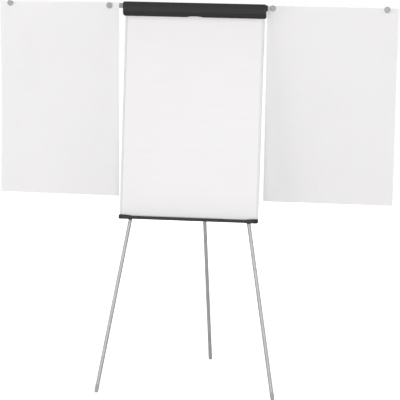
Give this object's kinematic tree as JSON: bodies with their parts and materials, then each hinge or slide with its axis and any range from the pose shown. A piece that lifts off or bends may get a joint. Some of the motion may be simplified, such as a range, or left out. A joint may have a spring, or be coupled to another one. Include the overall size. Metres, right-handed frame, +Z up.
{
  "type": "flipchart easel",
  "caption": "Flipchart easel: leaning whiteboard with hinged clamp bar and pen tray on three telescopic folding legs, with side arms holding paper sheets by magnets.",
  "frame": {"origin": "on the floor in the middle of the footprint, on the centre line of the board", "axes": "+Z up, the writing face looks along -Y, +X to the right as seen from the front"},
  "size_m": [2.0399, 1.0274, 1.9723],
  "materials": {
    "arm": "grey powder coat, satin",
    "back_sheet": "galvanised, matt",
    "bar": "charcoal powder coat, satin",
    "board_core": "honeycomb board",
    "charcoal": "fine textured charcoal",
    "foot": "matt light grey",
    "frame": "satin anodised",
    "grey_plastic": "fine textured grey",
    "leg": "silver grey powder coat, satin",
    "magnet": "grey moulded cap",
    "paper": "plain white flipchart paper",
    "rubber": "matt black",
    "steel": "zinc plated",
    "writing_surface": "white enamel, glossy"
  },
  "bodies": {
    "board": {"arm_bracket_left": "arm", "arm_bracket_right": "arm", "arm_pivot_pins": "steel", "back_screws": "steel", "back_sheet": "back_sheet", "board_core": "board_core", "bottom_rail": "frame", "clamp_hinge_lugs": "steel", "clamp_hinge_rod": "steel", "crown_bracket": "charcoal", "leg_pivot_bolts": "steel", "pen_tray": "charcoal", "rear_hinge_pin": "steel", "side_frame_left": "frame", "side_frame_right": "frame", "top_rail": "frame", "tray_end_left": "charcoal", "tray_end_right": "charcoal", "writing_surface": "writing_surface"},
    "clamp_bar": {"clamp_bar": "bar", "clamp_end_left": "charcoal", "clamp_end_right": "charcoal", "clamp_grip_strip": "rubber"},
    "pad_hook_left": {"pad_hook_left": "grey_plastic"},
    "pad_hook_right": {"pad_hook_right": "grey_plastic"},
    "front_leg_left": {"front_leg_left_head": "charcoal", "front_leg_left_upper_tube": "leg", "front_leg_left_lock_collar": "charcoal"},
    "front_leg_left_extension": {"front_leg_left_lower_tube": "leg", "front_leg_left_guide_plug": "charcoal", "front_leg_left_foot": "foot"},
    "front_leg_left_knob": {"front_leg_left_lock_knob": "charcoal"},
    "front_leg_right": {"front_leg_right_head": "charcoal", "front_leg_right_upper_tube": "leg", "front_leg_right_lock_collar": "charcoal"},
    "front_leg_right_extension": {"front_leg_right_lower_tube": "leg", "front_leg_right_guide_plug": "charcoal", "front_leg_right_foot": "foot"},
    "front_leg_right_knob": {"front_leg_right_lock_knob": "charcoal"},
    "rear_leg": {"rear_leg_head": "charcoal", "rear_leg_upper_tube": "leg", "rear_leg_lock_collar": "charcoal"},
    "rear_leg_extension": {"rear_leg_lower_tube": "leg", "rear_leg_guide_plug": "charcoal", "rear_leg_foot": "foot"},
    "rear_leg_knob": {"rear_leg_lock_knob": "charcoal"},
    "arm_left": {"arm_left": "arm", "arm_cap_left": "grey_plastic", "sheet_left": "paper"},
    "magnet_left_inner": {"magnet_left_inner": "magnet"},
    "magnet_left_outer": {"magnet_left_outer": "magnet"},
    "arm_right": {"arm_right": "arm", "arm_cap_right": "grey_plastic", "sheet_right": "paper"},
    "magnet_right_inner": {"magnet_right_inner": "magnet"},
    "magnet_right_outer": {"magnet_right_outer": "magnet"}
  },
  "joints": [
    {"name": "clamp_bar_hinge", "type": "hinge", "parent": "board", "child": "clamp_bar", "pos_m": [0, -0.37693, 1.95573], "axis": [-1, 0, 0], "range_deg": [0, 68]},
    {"name": "pad_hook_left_slide", "type": "slide", "parent": "board", "child": "pad_hook_left", "axis": [-1, 0, 0], "range_m": [-0.035, 0.053]},
    {"name": "pad_hook_right_slide", "type": "slide", "parent": "board", "child": "pad_hook_right", "axis": [1, 0, 0], "range_m": [-0.035, 0.053]},
    {"name": "front_leg_left_fold", "type": "hinge", "parent": "board", "child": "front_leg_left", "pos_m": [-0.13, -0.34041, 1.87976], "axis": [0, -0.9962, 0.0872], "range_deg": [0, 9.6]},
    {"name": "front_leg_left_extension_slide", "type": "slide", "parent": "front_leg_left", "child": "front_leg_left_extension", "axis": [0.1668, 0.0859, 0.9822], "range_m": [0, 0.8]},
    {"name": "front_leg_left_knob_turn", "type": "hinge", "parent": "front_leg_left", "child": "front_leg_left_knob", "pos_m": [-0.2941, -0.40006, 0.91105], "axis": [0, 0.9962, -0.0872], "range_deg": [0, 270]},
    {"name": "front_leg_right_fold", "type": "hinge", "parent": "board", "child": "front_leg_right", "pos_m": [0.13, -0.34041, 1.87976], "axis": [0, 0.9962, -0.0872], "range_deg": [0, 9.6]},
    {"name": "front_leg_right_extension_slide", "type": "slide", "parent": "front_leg_right", "child": "front_leg_right_extension", "axis": [-0.1668, 0.0859, 0.9822], "range_m": [0, 0.8]},
    {"name": "front_leg_right_knob_turn", "type": "hinge", "parent": "front_leg_right", "child": "front_leg_right_knob", "pos_m": [0.2941, -0.40006, 0.91105], "axis": [0, 0.9962, -0.0872], "range_deg": [0, 270]},
    {"name": "rear_leg_fold", "type": "hinge", "parent": "board", "child": "rear_leg", "pos_m": [0, -0.31351, 1.8774], "axis": [-1, 0, 0], "range_deg": [0, 28]},
    {"name": "rear_leg_extension_slide", "type": "slide", "parent": "rear_leg", "child": "rear_leg_extension", "axis": [0, -0.3987, 0.9171], "range_m": [0, 0.8]},
    {"name": "rear_leg_knob_turn", "type": "hinge", "parent": "rear_leg", "child": "rear_leg_knob", "pos_m": [0, 0.11574, 0.95289], "axis": [0, 0.9171, 0.3987], "range_deg": [0, 270]},
    {"name": "arm_left_swing", "type": "hinge", "parent": "board", "child": "arm_left", "pos_m": [-0.34, -0.34292, 1.95426], "axis": [0, -0.0872, -0.9962], "range_deg": [-11, 74]},
    {"name": "magnet_left_inner_pull", "type": "slide", "parent": "arm_left", "child": "magnet_left_inner", "axis": [-0.1908, -0.9779, 0.0856], "range_m": [0, 0.03]},
    {"name": "magnet_left_outer_pull", "type": "slide", "parent": "arm_left", "child": "magnet_left_outer", "axis": [-0.1908, -0.9779, 0.0856], "range_m": [0, 0.03]},
    {"name": "arm_right_swing", "type": "hinge", "parent": "board", "child": "arm_right", "pos_m": [0.34, -0.34292, 1.95426], "axis": [0, 0.0872, 0.9962], "range_deg": [0, 85]},
    {"name": "magnet_right_inner_pull", "type": "slide", "parent": "arm_right", "child": "magnet_right_inner", "axis": [0, -0.9962, 0.0872], "range_m": [0, 0.03]},
    {"name": "magnet_right_outer_pull", "type": "slide", "parent": "arm_right", "child": "magnet_right_outer", "axis": [0, -0.9962, 0.0872], "range_m": [0, 0.03]}
  ]
}
